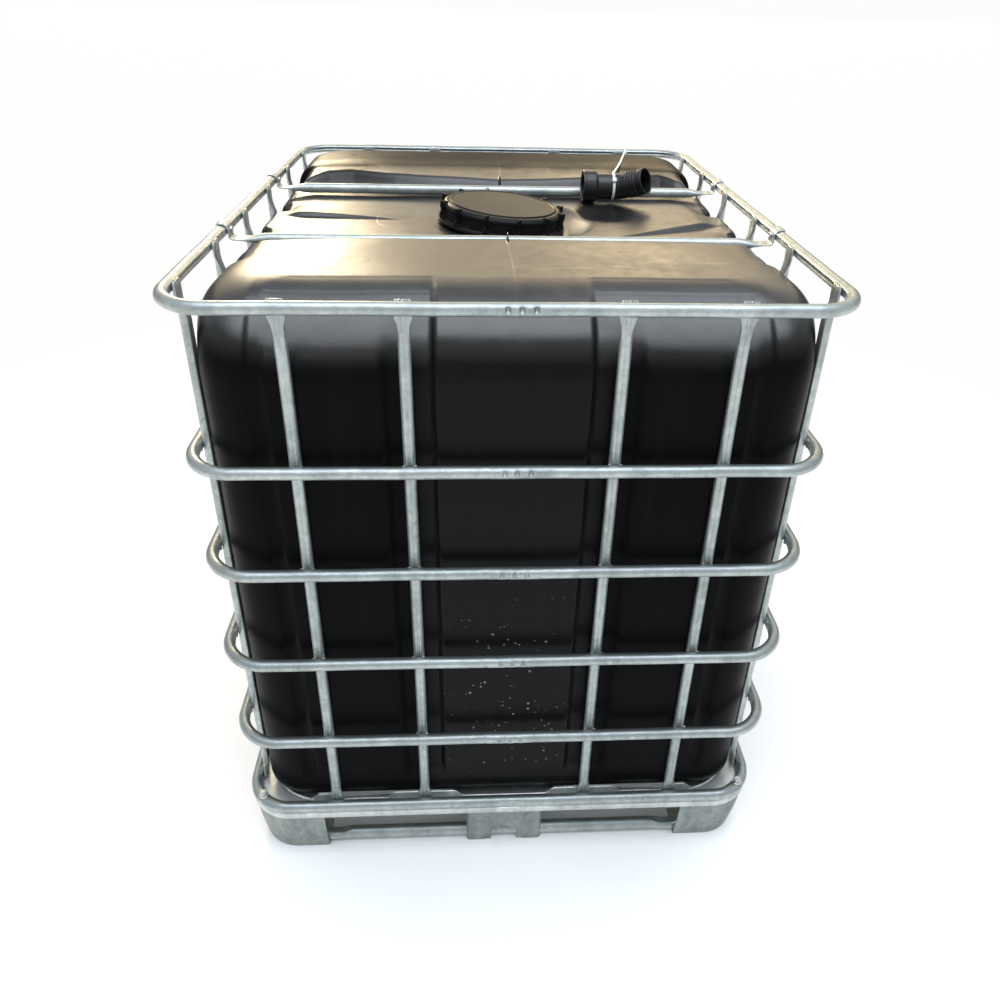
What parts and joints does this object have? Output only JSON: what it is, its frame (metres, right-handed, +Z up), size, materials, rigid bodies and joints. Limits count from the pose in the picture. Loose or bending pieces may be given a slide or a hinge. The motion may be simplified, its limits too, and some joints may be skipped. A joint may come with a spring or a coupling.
{
  "type": "intermediate bulk container",
  "caption": "Black plastic bulk liquid container in a galvanised tube cage on a steel pallet, with screw lid, low outlet valve with cap, and a loose hose spout tied on top.",
  "frame": {"origin": "centre of the footprint on the ground", "axes": "+Z up, +X across the short side to the right of someone facing the side without the valve, +Y along the long side towards the outlet valve"},
  "size_m": [1, 1.2024, 1.1981],
  "materials": {
    "galvanised_tube": "galvanised, dull bright with fine spangle",
    "zinc_sheet": "galvanised sheet, weathered matt",
    "zinc_fastener": "zinc plated",
    "black_hdpe": "satin blow-moulded",
    "lid_plastic": "fine-textured moulded",
    "valve_plastic": "satin moulded",
    "seal_rubber": "matt",
    "red_plastic": "satin moulded",
    "white_nylon": "satin"
  },
  "bodies": {
    "container": {"ring_top": "galvanised_tube", "ring_2": "galvanised_tube", "ring_3": "galvanised_tube", "ring_4": "galvanised_tube", "ring_5": "galvanised_tube", "ring_bottom": "galvanised_tube", "upright_front_1": "galvanised_tube", "upright_front_2": "galvanised_tube", "upright_front_3": "galvanised_tube", "upright_front_4": "galvanised_tube", "upright_back_1": "galvanised_tube", "upright_back_2": "galvanised_tube", "upright_back_3": "galvanised_tube", "upright_back_4": "galvanised_tube", "upright_left_1": "galvanised_tube", "upright_left_2": "galvanised_tube", "upright_left_3": "galvanised_tube", "upright_left_4": "galvanised_tube", "upright_left_5": "galvanised_tube", "upright_left_6": "galvanised_tube", "upright_right_1": "galvanised_tube", "upright_right_2": "galvanised_tube", "upright_right_3": "galvanised_tube", "upright_right_4": "galvanised_tube", "upright_right_5": "galvanised_tube", "upright_right_6": "galvanised_tube", "crossbar_front": "galvanised_tube", "crossbar_rear": "galvanised_tube", "crossbar_screw_front_left": "zinc_fastener", "crossbar_screw_front_right": "zinc_fastener", "crossbar_screw_rear_left": "zinc_fastener", "crossbar_screw_rear_right": "zinc_fastener", "bottle": "black_hdpe", "outlet_nut": "lid_plastic", "outlet_seal": "seal_rubber", "valve_body": "black_hdpe", "tray": "zinc_sheet", "corner_foot_back_right": "zinc_sheet", "corner_foot_back_left": "zinc_sheet", "corner_foot_front_left": "zinc_sheet", "corner_foot_front_right": "zinc_sheet", "centre_foot_front": "zinc_sheet", "centre_foot_back": "zinc_sheet", "centre_foot_left": "zinc_sheet", "centre_foot_right": "zinc_sheet", "skid_tube": "galvanised_tube", "centre_runner": "galvanised_tube", "corner_bolt_back_right": "zinc_fastener", "corner_bolt_back_left": "zinc_fastener", "corner_bolt_front_left": "zinc_fastener", "corner_bolt_front_right": "zinc_fastener"},
    "lid_seal": {"lid_gasket": "seal_rubber"},
    "lid": {"fill_lid": "lid_plastic"},
    "valve_rotor": {"valve_disc": "valve_plastic", "valve_handle": "red_plastic", "handle_screw": "zinc_fastener"},
    "cap_seal": {"outlet_cap_seal": "seal_rubber"},
    "cap": {"outlet_cap": "red_plastic"},
    "spout": {"elbow_spout": "lid_plastic", "cable_tie": "white_nylon"}
  },
  "joints": [
    {"name": "lid_lift", "type": "slide", "parent": "container", "child": "lid_seal", "axis": [0.0872, 0, 0.9962], "range_m": [0, 0.0301]},
    {"name": "lid_turn", "type": "hinge", "parent": "lid_seal", "child": "lid", "pos_m": [0, 0, 1.13], "axis": [0.0872, 0, 0.9962], "range_deg": [0, 1080]},
    {"name": "valve_turn", "type": "hinge", "parent": "container", "child": "valve_rotor", "pos_m": [0, 0.518, 0.2], "axis": [0, 0, 1], "range_deg": [0, 90]},
    {"name": "outlet_cap_lift", "type": "slide", "parent": "container", "child": "cap_seal", "axis": [0, 1, 0], "range_m": [0, 0.01805]},
    {"name": "outlet_cap_turn", "type": "hinge", "parent": "cap_seal", "child": "cap", "pos_m": [0, 0.56, 0.2], "axis": [0, 1, 0], "range_deg": [0, 1080]},
    {"name": "spout_swing", "type": "hinge", "parent": "container", "child": "spout", "pos_m": [0.345, 0.59, 1.1465], "axis": [-1, 0, 0], "range_deg": [0, 60]}
  ],
  "couplings": [
    {"joint": "lid_lift", "follows": "lid_turn", "m_per_rad": 0.0015915},
    {"joint": "outlet_cap_lift", "follows": "outlet_cap_turn", "m_per_rad": 0.00095493}
  ]
}
